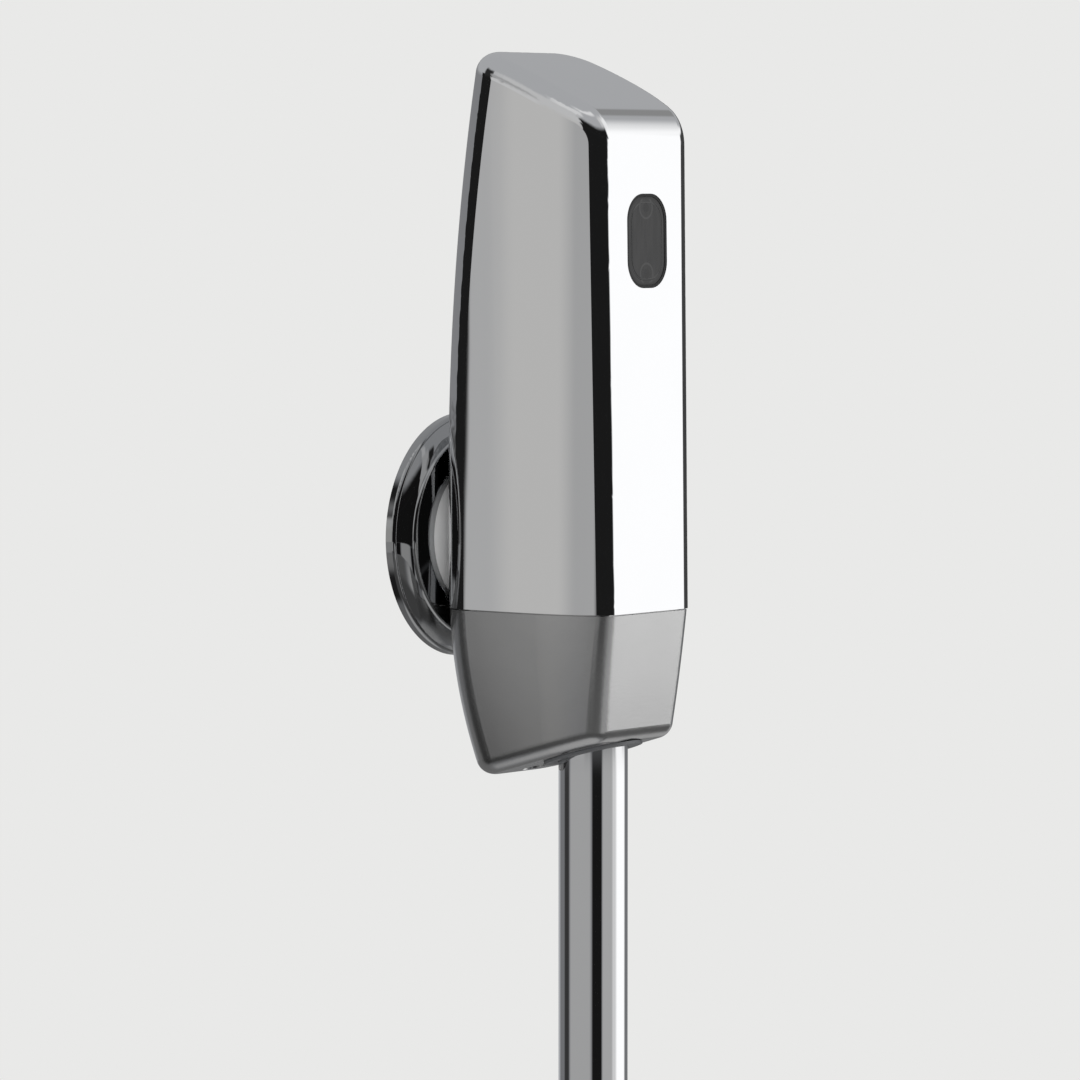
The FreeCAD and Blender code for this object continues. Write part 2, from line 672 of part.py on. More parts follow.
def make_chassis():
    base = flange_plate(chassis_z, chassis_z + leg_sheet)
    base = base.cut(rod(cover_dome_radius + 0.1, flange_z, deck_z, y=valve_y))
    base = base.cut(at_bolts(lambda x, y: rod(bolt_radius + seat_gap, flange_z, deck_z, x=x, y=y)))
    deck = rounded(hood_form(deck_inset), deck_inset)
    deck = deck.common(block(-roof_room, roof_room, -2 * roof_room, 0, deck_z, deck_z + deck_sheet))
    legs = []
    for sign in (-1, 1):
        near, far = sorted((sign * (flange_half_x - leg_sheet), sign * flange_half_x))
        legs.append(block(near, far, valve_y - leg_half, valve_y + leg_half, chassis_z,
                          deck_z + 0.5))
    frame = base.fuse(legs + [deck] + list(deck_noses(0).Solids))
    frame = frame.cut(rod(coil_nut_room, deck_z - 1, deck_z + deck_sheet + 1, y=valve_y))
    return frame.cut(rod(lead_hole, deck_z - 1, deck_z + deck_sheet + 1, y=lead_y))


save("chassis", make_chassis())

screw_seat_z = chassis_z + leg_sheet + seat_gap


def cover_screw(x, y):
    """A socket screw from the chassis down into the body."""
    screw = rod(bolt_head_radius, screw_seat_z, screw_seat_z + bolt_head, x=x, y=y)
    screw = screw.fuse(rod(bolt_radius, bolt_end_z, screw_seat_z + 0.5, x=x, y=y))
    return screw.cut(hexagon(2.5, screw_seat_z + bolt_head - 1.3, screw_seat_z + bolt_head + 1,
                             x=x, y=y))


save("cover_screws", at_bolts(cover_screw))

# The pilot valve: a solenoid whose armature lifts a rubber pad off a nozzle
coil_bottom_z = cover_top_z + yoke_sheet + 2 * seat_gap
coil_top_z = coil_bottom_z + coil_height
tube_top_z = coil_top_z + yoke_sheet + 0.4
pad_radius = 2.2
pad_bottom_z = nozzle_top_z + seat_gap
pad_height = 1.2
armature_bottom_z = tube_seat_z + 1.6
armature_top_z = armature_bottom_z + armature_length
core_z = armature_top_z + armature_travel + 0.1
spring_pocket = 2.4
pocket_depth = 5.0
stud_radius = 2.5
stud_top_z = tube_top_z + 3.4
guide = rod(tube_radius, tube_seat_z + seat_gap, tube_top_z, y=valve_y)
guide = guide.cut(rod(tube_bore, tube_seat_z - 1, core_z, y=valve_y))
save("armature_tube", guide.fuse(rod(stud_radius, tube_top_z - 1, stud_top_z, y=valve_y)))
armature = rod(tube_bore - armature_clearance, armature_bottom_z, armature_top_z, y=valve_y)
armature = armature.cut(rod(spring_pocket, armature_top_z - pocket_depth, armature_top_z + 1,
                            y=valve_y))
armature = armature.cut(rod(pad_radius + seat_gap, armature_bottom_z - 1,
                            pad_bottom_z + pad_height + seat_gap, y=valve_y))
save("armature", armature)
save("pilot_pad", rod(pad_radius, pad_bottom_z, pad_bottom_z + pad_height, y=valve_y))
save("armature_spring", coil_spring(1.8, 0.25, armature_top_z - pocket_depth + spring_gap,
                                    core_z - spring_gap, 5))
flange_height = 1.5
coil = tube(coil_radius, tube_radius + seat_gap, coil_bottom_z, coil_top_z, y=valve_y)
coil = coil.cut(tube(coil_radius + 1, coil_radius - 1.0, coil_bottom_z + flange_height,
                     coil_top_z - flange_height, y=valve_y))
save("solenoid_coil", coil)
yoke_half = coil_radius + 0.3 + yoke_sheet
yoke = block(-yoke_half, yoke_half, valve_y - yoke_width / 2, valve_y + yoke_width / 2,
             cover_top_z + seat_gap, coil_top_z + seat_gap + yoke_sheet)
yoke = yoke.cut(block(-yoke_half + yoke_sheet, yoke_half - yoke_sheet, valve_y - yoke_width,
                      valve_y + yoke_width, cover_top_z + seat_gap + yoke_sheet,
                      coil_top_z + seat_gap))
save("solenoid_yoke", yoke.cut(rod(tube_radius + seat_gap, 0, deck_z, y=valve_y)))
nut = hexagon(8.0, tube_top_z + seat_gap, tube_top_z + 3.0, y=valve_y)
save("coil_nut", nut.cut(rod(stud_radius + seat_gap, 0, deck_z, y=valve_y)))

# The outlet: a vacuum breaker under the body, then the coupling that grips
# the flush pipe
gasket_height = 1.5
web_sheet = 1.4
web_bore = 5.0
float_room = 9.4
float_radius = 7.4
float_height = 2.0
spider_sheet = 1.6
shoulder_bore = 8.1
skirt_top_z = body_bottom_z - 2.0
coupling_thread_z = -36.0
air_hole = 1.5
air_hole_z = -31.2
web_z = spigot_bottom_z - 2 * seat_gap - gasket_height
float_top_z = web_z - web_sheet - seat_gap
spider_z = float_top_z - float_height - breaker_travel - 3.4
pipe_clearance = 0.08


def make_breaker():
    shell = rod(breaker_radius, coupling_thread_z, skirt_top_z, y=valve_y)
    shell = shell.fuse(rod(spigot_radius, breaker_bottom_z, coupling_thread_z + 1, y=valve_y))
    for bore, low, high in ((spigot_radius + slide_clearance, web_z, skirt_top_z + 1),
                            (web_bore, web_z - web_sheet - 1, web_z + 1),
                            (float_room, spider_z, web_z - web_sheet),
                            (shoulder_bore, pipe_top_z + seat_gap - 1, spider_z + 1),
                            (pipe_radius + pipe_clearance, breaker_bottom_z - 1, pipe_top_z + seat_gap)):
        shell = shell.cut(rod(bore, low, high, y=valve_y))
    spider = block(-shoulder_bore - 0.5, shoulder_bore + 0.5, valve_y - 1, valve_y + 1,
                   spider_z - spider_sheet, spider_z)
    spider = spider.fuse(rod(4.6, spider_z - spider_sheet, spider_z, y=valve_y).cut(
        rod(2.4, spider_z - 5, spider_z + 5, y=valve_y)))
    shell = shell.fuse(spider)
    for k in range(4):
        hole = rod(air_hole, 0, breaker_radius + 2, X, z=air_hole_z)
        hole.rotate(Vector(0, 0, 0), Z, 45 + 90 * k)
        shell = shell.cut(hole.translated(Vector(0, valve_y, 0)).cut(
            rod(float_room - 1, -2 * roof_room, 0, y=valve_y)))
    return shell


save("breaker_body", make_breaker())
save("breaker_gasket", tube(spigot_radius - 0.2, outlet_bore + 0.6, web_z + seat_gap,
                            web_z + seat_gap + gasket_height, y=valve_y))
disc = rod(float_radius, float_top_z - float_height, float_top_z, y=valve_y)
save("breaker_disc", disc.fuse(rod(web_bore - 0.6, float_top_z - 0.5, float_top_z + 1.2, y=valve_y)))
save("breaker_spring", coil_spring(3.6, 0.3, spider_z + spring_gap,
                                   float_top_z - float_height - spring_gap, 4))

pipe_bottom_z = pipe_top_z - pipe_length
pipe_bore = pipe_radius - pipe_wall
bevel = 0.3
save("flush_pipe", spun([(pipe_bore, pipe_bottom_z), (plug_end_radius - bevel, pipe_bottom_z),
                         (plug_end_radius, pipe_bottom_z + bevel),
                         (plug_end_radius, pipe_bottom_z + plug_end_length),
                         (pipe_radius, pipe_bottom_z + plug_end_length + bevel),
                         (pipe_radius, pipe_top_z), (pipe_bore, pipe_top_z)],
                        Vector(0, valve_y, 0), Z))
seal_top_z = breaker_bottom_z - seat_gap
seal_height = 2.4
clamp_height = 1.4
grip = spun([(pipe_radius + seat_gap, 0), (spigot_radius - 0.1, 0),
             (spigot_radius - 0.1, -0.8), (pipe_radius + 0.5, -seal_height),
             (pipe_radius + seat_gap, -seal_height)], Vector(0, valve_y, seal_top_z), Z)
save("pipe_seal", grip)
clamp_top_z = seal_top_z - seal_height - seat_gap
save("clamp_ring", tube(spigot_radius - 0.1, pipe_radius + seat_gap, clamp_top_z - clamp_height,
                        clamp_top_z, y=valve_y))
nut_floor_z = clamp_top_z - clamp_height - seat_gap
nut = hexagon(nut_flats, nut_bottom_z, nut_top_z, y=valve_y)
nut = nut.cut(rod(spigot_radius + seat_gap, nut_floor_z, nut_top_z + 1, y=valve_y))
save("coupling_nut", nut.cut(rod(pipe_radius + 0.3, nut_bottom_z - 1, nut_top_z, y=valve_y)))

# The battery: two cells in one shell, in a cup on the deck
deck_top_z = deck_z + deck_sheet
holder_floor = 1.2
holder_height = 15.0
cup_gap = 0.15
battery_y = battery_back_y - battery_depth / 2
battery_z = deck_top_z + seat_gap + holder_floor + 0.5


def stadium(radius, z0, z1):
    """Two round ends and the flat between them: the battery's cross-section."""
    reach = (battery_width - battery_depth) / 2
    middle = block(-reach, reach, battery_y - radius, battery_y + radius, z0, z1)
    ends = [rod(radius, z0, z1, x=sign * reach, y=battery_y) for sign in (-1, 1)]
    return middle.fuse(ends).removeSplitter()


cell_radius = battery_depth / 2
save("battery", stadium(cell_radius, battery_z, battery_z + battery_height))
holder = stadium(cell_radius + cup_gap + holder_wall, deck_top_z + seat_gap,
                 deck_top_z + holder_height)
holder = holder.cut(stadium(cell_radius + cup_gap, deck_top_z + seat_gap + holder_floor,
                            deck_top_z + holder_height + 1))

# The circuit board and its contacts, upright in front of the battery
board_back_y = -45.8
board_front_y = board_back_y - board_sheet
contact_x = 7.5
contact_half = 2.0
contact_sheet = 0.4
contact_z = deck_top_z + seat_gap + holder_floor
contact_top_z = board_z + 4.0
front_wall = battery_y - cell_radius - cup_gap - holder_wall
contacts = []
for sign in (-1, 1):
    near = sign * contact_x - contact_half
    far = sign * contact_x + contact_half
    strip = block(near, far, board_back_y + seat_gap, battery_y, contact_z + seat_gap,
                  contact_z + seat_gap + contact_sheet)
    upright = block(near, far, board_back_y + seat_gap, board_back_y + seat_gap + contact_sheet,
                    contact_z + seat_gap, contact_top_z)
    contacts.append(strip.fuse(upright))
    holder = holder.cut(block(near - 0.2, far + 0.2, front_wall - 1, battery_y - cell_radius + 2,
                              contact_z, contact_z + contact_sheet + 0.4))
save("battery_holder", holder)
save("battery_contacts", Part.makeCompound(contacts))

plug_half = 3.0
plug_depth = board_front_y - lead_y + 1.5
board = block(-board_width / 2, board_width / 2, board_front_y, board_back_y, board_z,
              board_z + board_height)
plug = block(-plug_half, plug_half, board_front_y - plug_depth, board_front_y, plug_z,
             plug_z + plug_height)
save("circuit_board", board.fuse(plug))

# The sensor: an emitter over a receiver, in a housing behind the window
led_length = 8.0
led_front_y = -55.9
housing_front_y = -56.4
housing_bottom_z = deck_top_z + seat_gap
housing_top_z = board_z + board_height + 0.2 + housing_wall
housing_half = board_width / 2 + 0.2 + housing_wall


def led(z):
    """A round infrared part with its dome forwards and its two legs in the board."""
    body = rod(led_radius, led_front_y + led_radius, led_front_y + led_length, Y, z=z)
    body = body.fuse(Part.makeSphere(led_radius, Vector(0, led_front_y + led_radius, z)))
    legs = [block(x - 0.3, x + 0.3, led_front_y + led_length - 0.5, board_front_y, z - 0.3, z + 0.3)
            for x in (-1.27, 1.27)]
    return body.fuse(legs)


housing = block(-housing_half, housing_half, housing_front_y, board_back_y, housing_bottom_z,
                housing_top_z)
housing = housing.cut(block(-housing_half + housing_wall, housing_half - housing_wall,
                            housing_front_y + housing_wall, board_back_y + 1,
                            housing_bottom_z + housing_wall, housing_top_z - housing_wall))
for height in led_heights:
    housing = housing.cut(rod(led_radius + 0.1, housing_front_y - 1, housing_front_y + 3, Y, z=height))
housing = housing.cut(rod(lead_hole, housing_bottom_z - 1, housing_bottom_z + 3, y=lead_y))
save("sensor_housing", housing)
save("infrared_emitter", led(led_heights[0]))
save("infrared_receiver", led(led_heights[1]))

# The coil's lead, from the coil up through the deck into the board's plug
save("coil_lead", rod(lead_radius, coil_top_z + seat_gap, plug_z - seat_gap, y=lead_y))
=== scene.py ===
import json
import math

import bpy
import numpy as np
from mathutils import Matrix


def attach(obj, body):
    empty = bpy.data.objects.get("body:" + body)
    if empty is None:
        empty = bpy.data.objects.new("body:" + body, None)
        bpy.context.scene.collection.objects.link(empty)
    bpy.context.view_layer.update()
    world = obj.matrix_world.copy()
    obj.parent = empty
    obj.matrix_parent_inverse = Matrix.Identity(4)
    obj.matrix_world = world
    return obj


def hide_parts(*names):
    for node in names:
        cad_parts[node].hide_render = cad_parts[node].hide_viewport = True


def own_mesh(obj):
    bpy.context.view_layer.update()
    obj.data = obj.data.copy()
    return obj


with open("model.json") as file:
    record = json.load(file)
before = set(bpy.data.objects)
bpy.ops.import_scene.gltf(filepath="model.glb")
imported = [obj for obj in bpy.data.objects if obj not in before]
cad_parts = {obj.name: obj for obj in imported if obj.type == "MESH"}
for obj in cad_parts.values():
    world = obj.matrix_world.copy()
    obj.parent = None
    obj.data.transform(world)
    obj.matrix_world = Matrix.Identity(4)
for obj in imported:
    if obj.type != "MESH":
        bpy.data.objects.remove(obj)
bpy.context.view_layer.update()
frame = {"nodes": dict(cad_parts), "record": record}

nodes = frame["nodes"]


# Tools for the materials, which are worked out as expressions on signals, and
# for giving them to the pieces.

class Signal:
    """One output in a tree of shader nodes; operators on values add Math nodes."""

    def __init__(self, tree, socket=None):
        self.tree, self.socket = tree, socket

    def node(self, kind, sockets=(), output=0, **settings):
        """Add a node: its settings first, then values or links for its sockets."""
        made = self.tree.nodes.new("ShaderNode" + kind)
        for name, value in settings.items():
            setattr(made, name, value)
        for key, value in dict(sockets).items():
            if isinstance(value, Signal):
                self.tree.links.new(value.socket, made.inputs[key])
            else:
                made.inputs[key].default_value = value
        return Signal(self.tree, made.outputs[output])

    def outputs(self, *names):
        """Other outputs of the same node."""
        return [Signal(self.tree, self.socket.node.outputs[name]) for name in names]

    def maths(self, operation, *values):
        return self.node("Math", enumerate(values), operation=operation)

    def __add__(self, other):
        return self.maths("ADD", self, other)

    def __sub__(self, other):
        return self.maths("SUBTRACT", self, other)

    def __rsub__(self, other):
        return self.maths("SUBTRACT", other, self)

    def __mul__(self, other):
        return self.maths("MULTIPLY", self, other)

    def __truediv__(self, other):
        return self.maths("DIVIDE", self, other)

    __radd__, __rmul__ = __add__, __mul__

    def between(self, low, high):
        """0 below low, 1 above high, and a smooth step from one to the other."""
        return self.node("MapRange", {0: self, 1: low, 2: high}, interpolation_type="SMOOTHSTEP")

    def blend(self, one, two):
        """Colour one where this is 0, colour two where it is 1."""
        one, two = [(*c, 1) if isinstance(c, tuple) else c for c in (one, two)]
        return self.node("Mix", {0: self, 6: one, 7: two}, output=2, data_type="RGBA")


def finish(name, **fixed):
    """A material with its principled shader, and a Signal that starts its nodes."""
    made = bpy.data.materials.new(name)
    made.use_nodes = True
    shader = made.node_tree.nodes["Principled BSDF"]
    for socket, value in fixed.items():
        shader.inputs[socket.replace("_", " ")].default_value = value
    return made, shader, Signal(made.node_tree)


def feed(shader, **signals):
    """Link signals to the shader's sockets by name."""
    for socket, signal in signals.items():
        signal.tree.links.new(signal.socket, shader.inputs[socket.replace("_", " ")])


def place_of(start):
    """The point on the piece, as three values along X, Y and Z in metres."""
    return start.node("SeparateXYZ", {0: start.node("TexCoord", output=3)}).outputs("X", "Y", "Z")


def grain(start, size, detail=3.0, stretch=(1, 1, 1)):
    """Noise in object coordinates with features of about one size, in metres."""
    place = start.node("TexCoord", output=3)
    place = start.node("Mapping", {0: place, 3: tuple(s / size for s in stretch)})
    return start.node("TexNoise", {0: place, "Scale": 1.0, "Detail": detail})


def turned(start, centre, size, axis="Z"):
    """Fine rings round an axis through a centre, as a lathe tool leaves them."""
    values = dict(zip("XYZ", place_of(start)))
    along = values.pop(axis)
    (one, two), (centre_one, centre_two) = values.values(), centre
    one, two = one - centre_one, two - centre_two
    out = start.maths("SQRT", one * one + two * two)
    place = start.node("CombineXYZ", {0: out / size, 1: along / size})
    return start.node("TexNoise", {0: place, "Scale": 1.0, "Detail": 2.0})


def relief(start, height, depth):
    """A bump of a real depth in metres."""
    return start.node("Bump", {"Height": height, "Distance": depth, "Strength": 1.0})


def dress(material, *names):
    """Give CAD nodes their material."""
    for name in names:
        slots = nodes[name].data.materials
        slots.clear()
        slots.append(material)


def surface(name, points, material):
    """A piece from a grid of points, closed along its rows and its columns."""
    crease = math.radians(30)
    rows, columns = points.shape[:2]
    here = np.arange(rows * columns).reshape(rows, columns)
    down, right = np.roll(here, -1, 0), np.roll(here, -1, 1)
    quads = np.stack([here, right, np.roll(down, -1, 1), down], -1).reshape(-1, 4)
    mesh = bpy.data.meshes.new(name)
    mesh.from_pydata(points.reshape(-1, 3).tolist(), [], quads.tolist())
    mesh.shade_smooth()
    mesh.set_sharp_from_angle(angle=crease)
    mesh.materials.append(material)
    piece = bpy.data.objects.new(name, mesh)
    bpy.context.scene.collection.objects.link(piece)
    return piece


def steel(name, colour, rough, size=0.0012, stretch=(1, 1, 1)):
    """Steel with the soft drawn or rolled streaks of its stock."""
    made, shader, start = finish(name, Metallic=1.0)
    streaks = grain(start, size, 4.0, stretch)
    feed(shader,
         Base_Color=streaks.blend(tuple(c * 0.86 for c in colour), colour),
         Roughness=streaks * 0.14 + rough,
         Normal=relief(start, streaks, 0.000004))
    return made


def polished_chrome(name, colour, waviness):
    """Mirror plate: a trace of polishing haze, and long faint waves in the metal."""
    made, shader, start = finish(name, Metallic=1.0)
    haze = grain(start, 0.018, 4.0)
    feed(shader,
         Base_Color=haze.blend(tuple(c * 0.985 for c in colour), colour),
         Roughness=haze.between(0.35, 0.75) * 0.012 + 0.012,
         Normal=relief(start, grain(start, 0.03, 1.0), waviness))
    return made


def moulded(name, colour, rough, texture=0.00035):
    """A moulded plastic: slight flow shades, and the fine texture of its mould."""
    made, shader, start = finish(name)
    flow, skin = grain(start, 0.009, 3.0), grain(start, texture, 2.0)
    feed(shader,
         Base_Color=flow.blend(tuple(c * 0.9 for c in colour), colour),
         Roughness=skin * 0.12 + rough,
         Normal=relief(start, skin, 0.000008))
    return made


def turned_brass(name, centre, axis="Z"):
    """Bright brass with the rings of the lathe and a little tarnish."""
    made, shader, start = finish(name, Metallic=1.0)
    rings, tarnish = turned(start, centre, 0.00018, axis), grain(start, 0.004, 4.0)
    feed(shader,
         Base_Color=tarnish.between(0.3, 0.75).blend((0.90, 0.72, 0.40), (0.80, 0.61, 0.32)),
         Roughness=tarnish * 0.12 + rings * 0.08 + 0.16,
         Normal=relief(start, rings, 0.000006))
    return made


# The inlet nipple: turned brass, with a half-inch pipe thread for the wall
# and a plain tube with two grooves that the valve slides onto.
thread_radius, thread_depth, thread_pitch = 0.0104775, 0.001162, 0.001814
thread_start, thread_end = -0.0007, 0.015
crest_flat, softness, chamfer_slope = 0.12, 0.4, 1.1
runout_start, runout_length = 0.0009, 0.0012
tube_radius, tube_end, bore = 0.0095, -0.0145, 0.007
groove_places, groove_half, groove_floor = (-0.0063, -0.0106), 0.00115, 0.00791
groove_bevel, collar_bevel, bore_bevel, end_bevel = 0.0001, 0.0003, 0.0003, 0.0004
turn_points, thread_rows, collar_gap = 96, 112, 0.0002


def threaded(along, angle):
    """Radius of the thread: a rounded triangle wave of the place along the axis
    less one pitch a turn, faded out at the collar and chamfered at the far end."""
    wave = np.abs(((along - thread_pitch * angle / (2 * np.pi)) / thread_pitch) % 1 * 2 - 1)
    wave = np.clip((wave - crest_flat) / (1 - 2 * crest_flat), 0, 1)
    cut = wave * wave * (3 - 2 * wave) * softness + wave * (1 - softness)
    cut = cut * np.clip((along - thread_start - runout_start) / runout_length, 0, 1)
    chamfer = thread_radius - thread_depth + (thread_end - along) * chamfer_slope
    return np.minimum(thread_radius - thread_depth * cut, chamfer)


turn_of = np.linspace(0, 2 * np.pi, turn_points, endpoint=False)
thread_along = np.linspace(thread_end, thread_start + collar_gap, thread_rows)
plain = [(thread_radius - collar_bevel, thread_start), (tube_radius, thread_start)]
for groove in groove_places:
    near, far = groove + groove_half, groove - groove_half
    plain += [(tube_radius - groove_bevel, near + groove_bevel), (tube_radius - 2 * groove_bevel, near),
              (groove_floor, near), (groove_floor, far),
              (tube_radius - 2 * groove_bevel, far), (tube_radius, far - groove_bevel)]
plain += [(tube_radius, tube_end + end_bevel), (tube_radius - end_bevel, tube_end),
          (bore + bore_bevel, tube_end), (bore, tube_end + bore_bevel),
          (bore, thread_end - end_bevel), (bore + end_bevel, thread_end)]
plain = np.array(plain)
along = np.concatenate([thread_along, plain[:, 1]])
radius = np.concatenate([threaded(thread_along[:, None], turn_of[None]),
                         np.repeat(plain[:, :1], len(turn_of), 1)])
nipple = surface("threaded_nipple", np.stack([
    radius * np.cos(turn_of), np.repeat(along[:, None], len(turn_of), 1),
    radius * np.sin(turn_of)], -1), turned_brass("nipple_brass", (0.0, 0.0), "Y"))
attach(nipple, "valve")
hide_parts("inlet_nipple")

# What seals and holds: black rubber for every ring, seal and washer, a basket
# strainer pressed from stainless sheet, and the steel screws.
rubber, shader, start = finish("black_rubber", Roughness=0.55)
bloom = grain(start, 0.0014, 4.0)
feed(shader,
     Base_Color=bloom.between(0.4, 0.8).blend((0.014, 0.014, 0.015), (0.035, 0.035, 0.036)),
     Normal=relief(start, grain(start, 0.0003), 0.00001))
dress(rubber, "nipple_o_rings", "stem_ring", "piston_seal", "seat_washer", "pilot_pad",
      "breaker_gasket", "pipe_seal", "rosette_ring")
dress(steel("stainless_sheet", (0.66, 0.66, 0.65), 0.20, 0.0006, (1, 0.15, 1)), "strainer_basket")
dress(steel("blackened_screw", (0.16, 0.16, 0.17), 0.32), "nipple_set_screw", "cover_screws")
dress(steel("zinc_screw", (0.62, 0.62, 0.60), 0.26), "cap_screw")

# The valve body: a brass casting, sand-rough outside and yellow, with its
# neck turned, polished and chromed where it shows behind the rosette.
cast_brass, shader, start = finish("cast_brass", Metallic=1.0)
neck_shoulder, plating_edge = -0.0165, 0.0005
sand, stain = grain(start, 0.0005, 2.0), grain(start, 0.006, 4.0)
plated = place_of(start)[1].between(neck_shoulder, neck_shoulder + plating_edge)
feed(shader,
     Base_Color=plated.blend(stain.blend((0.55, 0.41, 0.20), (0.76, 0.60, 0.33)), (0.90, 0.91, 0.93)),
     Roughness=(stain * 0.2 + 0.32) * (1 - plated) + plated * 0.05,
     Normal=relief(start, sand * (1 - plated), 0.00006))
dress(cast_brass, "valve_body")

forged_brass, shader, start = finish("forged_brass", Metallic=1.0)
scale_marks = grain(start, 0.0012, 4.0)
feed(shader,
     Base_Color=scale_marks.blend((0.58, 0.44, 0.22), (0.79, 0.63, 0.35)),
     Roughness=scale_marks * 0.18 + 0.24,
     Normal=relief(start, scale_marks, 0.00002))
dress(forged_brass, "valve_cover")

# The shut-off: a chromed ball between two white seats, turned from above by
# a brass stem with a driver slot, which a gland nut holds down.
plate = (0.93, 0.935, 0.945)
dress(polished_chrome("ball_chrome", plate, 0.000004), "shutoff_ball")
dress(moulded("white_seat", (0.86, 0.86, 0.84), 0.36), "ball_seats")
stem_axis = (0.0, -0.0228)
dress(turned_brass("stem_brass", stem_axis), "shutoff_stem", "gland_nut")

# The piston: moulded in white acetal with a rubber seal and washer, closed
# by a steel spring under the forged cover. The springs, which shorten as they
# work, each get a mesh of their own.
dress(moulded("acetal", (0.84, 0.84, 0.81), 0.30), "piston", "breaker_disc")
dress(steel("spring_wire", (0.60, 0.60, 0.61), 0.16, 0.0004, (1, 1, 3)),
      "piston_spring", "armature_spring", "breaker_spring")
for joint in frame["record"]["behaviour"]["joints"]:
    for spring in joint.get("deforming_nodes", ()):
        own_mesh(nodes[spring["node"]])

# The solenoid: a steel guide and plunger in a coil moulded in blue plastic,
# clamped in a zinc-plated yoke by a brass nut, with one short red lead.
valve_axis = (0.0, -0.0432)
guide_steel, shader, start = finish("guide_steel", Metallic=1.0)
rings = turned(start, valve_axis, 0.00012)
feed(shader,
     Base_Color=rings.blend((0.58, 0.58, 0.58), (0.70, 0.70, 0.69)),
     Roughness=rings * 0.1 + 0.14, Normal=relief(start, rings, 0.000004))
dress(guide_steel, "armature_tube", "armature")
dress(moulded("coil_blue", (0.055, 0.085, 0.22), 0.34), "solenoid_coil")
spangle_scale = 420.0
zinc_plate, shader, start = finish("zinc_plate", Metallic=1.0)
spangle = start.node("TexVoronoi", {0: start.node("TexCoord", output=3), "Scale": spangle_scale},
                     output=1)
spangle = start.node("RGBToBW", {0: spangle})
feed(shader,
     Base_Color=spangle.blend((0.57, 0.57, 0.55), (0.70, 0.70, 0.66)),
     Roughness=spangle * 0.1 + 0.28, Normal=relief(start, grain(start, 0.0005), 0.000006))
dress(zinc_plate, "solenoid_yoke", "battery_contacts")
dress(turned_brass("nut_brass", valve_axis), "coil_nut", "breaker_body", "coupling_nut", "clamp_ring")
dress(moulded("lead_red", (0.50, 0.035, 0.03), 0.45, 0.0008), "coil_lead")

# The chassis: one black moulding of glass-filled nylon that carries the deck,
# and the battery tray and sensor housing moulded from the same.
glass_nylon, shader, start = finish("glass_nylon")
fibres = grain(start, 0.0004, 2.0, (1, 1, 0.25))
feed(shader,
     Base_Color=fibres.between(0.55, 0.8).blend((0.034, 0.034, 0.037), (0.075, 0.075, 0.08)),
     Roughness=fibres * 0.16 + 0.42, Normal=relief(start, fibres, 0.000012))
dress(glass_nylon, "chassis", "battery_holder", "sensor_housing")

# The battery: a lithium pack in shrink film, dark with one bare band at the
# terminal end, held down in its tray.
shrink_film, shader, start = finish("shrink_film")
band_low, band_high, band_edge = 0.0628, 0.0672, 0.0002
height_up = place_of(start)[2]
band = (height_up.between(band_low, band_low + band_edge)
        * height_up.between(band_high, band_high - band_edge))
wrinkle = grain(start, 0.0016, 3.0, (1, 1, 0.3))
feed(shader,
     Base_Color=band.blend(wrinkle.blend((0.085, 0.085, 0.095), (0.12, 0.12, 0.13)), (0.42, 0.43, 0.45)),
     Roughness=wrinkle * 0.1 + 0.24, Normal=relief(start, wrinkle, 0.00003))
dress(shrink_film, "battery")

# The circuit board: green solder mask over copper tracks, with the infrared
# pair that looks out through the window.
track_scale, track_width = 420.0, 0.06
solder_mask, shader, start = finish("solder_mask", Roughness=0.3)
track = start.node("TexBrick", {0: start.node("TexCoord", output=3), 1: (0, 0, 0, 1), 2: (0, 0, 0, 1),
                                3: (1, 1, 1, 1), "Scale": track_scale, "Mortar Size": track_width},
                   offset=0.37)
weave = grain(start, 0.0006, 2.0)
feed(shader,
     Base_Color=start.node("RGBToBW", {0: track}).blend(
         weave.blend((0.035, 0.19, 0.09), (0.05, 0.24, 0.12)), (0.10, 0.38, 0.17)),
     Normal=relief(start, weave, 0.000006))
dress(solder_mask, "circuit_board")
clear_part, shader, start = finish("clear_infrared", Roughness=0.08, IOR=1.5)
cloud = grain(start, 0.0015, 3.0)
feed(shader, Base_Color=cloud.blend((0.42, 0.45, 0.54), (0.60, 0.63, 0.70)))
dress(clear_part, "infrared_emitter")
dark_part, shader, start = finish("dark_infrared", Roughness=0.08, IOR=1.5)
feed(shader, Base_Color=grain(start, 0.0015, 3.0).blend((0.02, 0.02, 0.028), (0.05, 0.045, 0.06)))
dress(dark_part, "infrared_receiver")

# The hood: a zinc casting, ground, polished and chrome plated until it
# mirrors the room. Two noses of the deck inside keep it steady.
dress(polished_chrome("hood_chrome", plate, 0.000012), "casing_hood")

# The window: moulded in dark plastic that only infrared light passes, with a
# darker border and a faint groove line inside it, in a thin black gasket.
window_middle, window_end = 0.0773, 0.0064
straight_across, straight_up = 0.0013, 0.0046
border_width, groove_low, groove_high, groove_rise = 0.0006, 0.0009, 0.0015, 0.0002
eye_heights, eye_radius = (0.0858, 0.0688), 0.0014
ring_radius, ring_half, soft_edge = 0.0027, 0.0004, 0.0003
lens_plastic, shader, start = finish("lens_plastic", Roughness=0.12, IOR=1.42)
across, _, upright = place_of(start)
past_x = start.maths("MAXIMUM", start.maths("ABSOLUTE", across) - straight_across, 0.0)
past_z = start.maths("MAXIMUM", start.maths("ABSOLUTE", upright - window_middle) - straight_up, 0.0)
inward = window_end - start.maths("SQRT", past_x * past_x + past_z * past_z)
border = inward.between(border_width, 0.0)
groove_line = (inward.between(groove_low, groove_low + groove_rise)
               * inward.between(groove_high, groove_high - soft_edge))
haze = grain(start, 0.0035, 3.0, (2.2, 1, 0.35))
